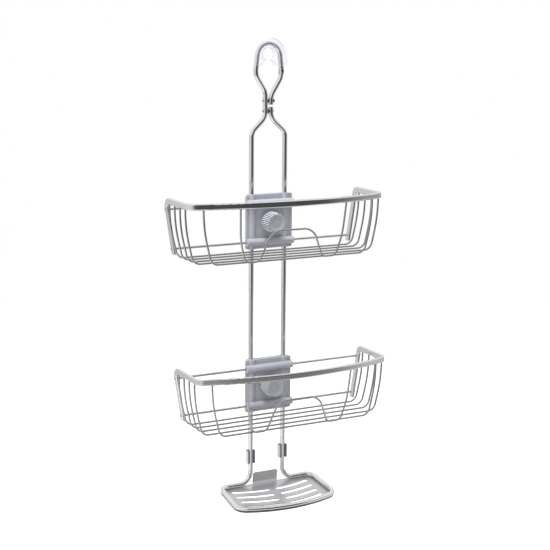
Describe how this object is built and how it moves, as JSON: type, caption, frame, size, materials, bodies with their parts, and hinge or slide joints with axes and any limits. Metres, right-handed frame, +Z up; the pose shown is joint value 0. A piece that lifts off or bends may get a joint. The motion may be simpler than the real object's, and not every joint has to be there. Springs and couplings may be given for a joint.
{
  "type": "hanging shower caddy",
  "caption": "Hanging shower caddy: bent rod frame with a gated hook for the shower arm, wire baskets on sliding clamp brackets with knobs, and a slotted soap tray at the foot.",
  "frame": {"origin": "centre of the shower arm in the hook's grip, half way through the grip's depth", "axes": "+Z up, +X to the right seen from the front, +Y to the wall behind the caddy, along the shower arm"},
  "size_m": [0.3532, 0.1314, 0.7432],
  "materials": {
    "rod_aluminium": "satin",
    "strip_aluminium": "satin",
    "wire_aluminium": "satin",
    "rail_aluminium": "satin",
    "tray_aluminium": "satin",
    "fastener_steel": "satin",
    "clear_plastic": "gloss",
    "bracket_plastic": "satin",
    "knob_plastic": "satin",
    "bumper_plastic": "satin",
    "washer_plastic": "satin"
  },
  "bodies": {
    "frame": {"hook_rod": "rod_aluminium", "shoulder_rod": "rod_aluminium", "upright_left": "rod_aluminium", "upright_right": "rod_aluminium", "ring_rod": "rod_aluminium", "hook_grip": "clear_plastic", "gate_rivet": "fastener_steel", "gate_bushing": "washer_plastic", "frame_rivet": "fastener_steel", "rivet_washer": "washer_plastic", "soap_tray": "tray_aluminium"},
    "gate": {"gate_rod": "rod_aluminium", "latch_pin": "fastener_steel"},
    "upper_bracket": {"upper_bracket_front": "bracket_plastic"},
    "upper_clamp": {"upper_bracket_rear": "bracket_plastic", "upper_clamp_nut": "fastener_steel"},
    "upper_knob": {"upper_knob": "knob_plastic", "upper_knob_cap": "knob_plastic", "upper_clamp_screw": "fastener_steel"},
    "upper_basket": {"upper_basket_rim": "strip_aluminium", "upper_rail_top": "rail_aluminium", "upper_rail_bottom": "rail_aluminium", "upper_bottom_wire_1": "wire_aluminium", "upper_bottom_wire_2": "wire_aluminium", "upper_bottom_wire_3": "wire_aluminium", "upper_bottom_wire_4": "wire_aluminium", "upper_bottom_wire_front": "wire_aluminium", "upper_scallop_wire": "wire_aluminium"},
    "lower_bracket": {"lower_bracket_front": "bracket_plastic"},
    "lower_clamp": {"lower_bracket_rear": "bracket_plastic", "lower_clamp_nut": "fastener_steel"},
    "lower_knob": {"lower_knob": "knob_plastic", "lower_knob_cap": "knob_plastic", "lower_clamp_screw": "fastener_steel"},
    "lower_basket": {"lower_basket_rim": "strip_aluminium", "lower_rail_top": "rail_aluminium", "lower_rail_bottom": "rail_aluminium", "lower_bottom_wire_1": "wire_aluminium", "lower_bottom_wire_2": "wire_aluminium", "lower_bottom_wire_3": "wire_aluminium", "lower_bottom_wire_4": "wire_aluminium", "lower_bottom_wire_front": "wire_aluminium", "lower_scallop_wire": "wire_aluminium"},
    "bumper_left": {"bumper_left": "bumper_plastic"},
    "bumper_right": {"bumper_right": "bumper_plastic"}
  },
  "joints": [
    {"name": "gate_hinge", "type": "hinge", "parent": "frame", "child": "gate", "pos_m": [0.004, 0, -0.072], "axis": [-1, 0, 0], "range_deg": [0, 75]},
    {"name": "upper_bracket_slide", "type": "slide", "parent": "frame", "child": "upper_bracket", "axis": [0, 0, 1], "range_m": [-0.08, 0.082]},
    {"name": "upper_knob_turn", "type": "hinge", "parent": "upper_bracket", "child": "upper_knob", "pos_m": [0, -0.0104, -0.2625], "axis": [0, -1, 0], "range_deg": [0, 720]},
    {"name": "upper_clamp_slide", "type": "slide", "parent": "upper_bracket", "child": "upper_clamp", "axis": [0, 1, 0], "range_m": [0, 0.002]},
    {"name": "upper_basket_slide", "type": "slide", "parent": "upper_bracket", "child": "upper_basket", "axis": [1, 0, 0], "range_m": [-0.1, 0.122]},
    {"name": "lower_bracket_slide", "type": "slide", "parent": "frame", "child": "lower_bracket", "axis": [0, 0, 1], "range_m": [-0.062, 0.08]},
    {"name": "lower_knob_turn", "type": "hinge", "parent": "lower_bracket", "child": "lower_knob", "pos_m": [0, -0.0104, -0.532], "axis": [0, -1, 0], "range_deg": [0, 720]},
    {"name": "lower_clamp_slide", "type": "slide", "parent": "lower_bracket", "child": "lower_clamp", "axis": [0, 1, 0], "range_m": [0, 0.002]},
    {"name": "lower_basket_slide", "type": "slide", "parent": "lower_bracket", "child": "lower_basket", "axis": [1, 0, 0], "range_m": [-0.1134, 0.1086]},
    {"name": "bumper_left_swivel", "type": "hinge", "parent": "frame", "child": "bumper_left", "pos_m": [-0.0295, 0, -0.6535], "axis": [0, 0, 1], "range_deg": [-90, 90]},
    {"name": "bumper_right_swivel", "type": "hinge", "parent": "frame", "child": "bumper_right", "pos_m": [0.0295, 0, -0.6515], "axis": [0, 0, 1], "range_deg": [-90, 90]}
  ],
  "couplings": [
    {"joint": "upper_knob_turn", "follows": "upper_clamp_slide", "rad_per_m": 6283.2},
    {"joint": "lower_knob_turn", "follows": "lower_clamp_slide", "rad_per_m": 6283.2}
  ]
}
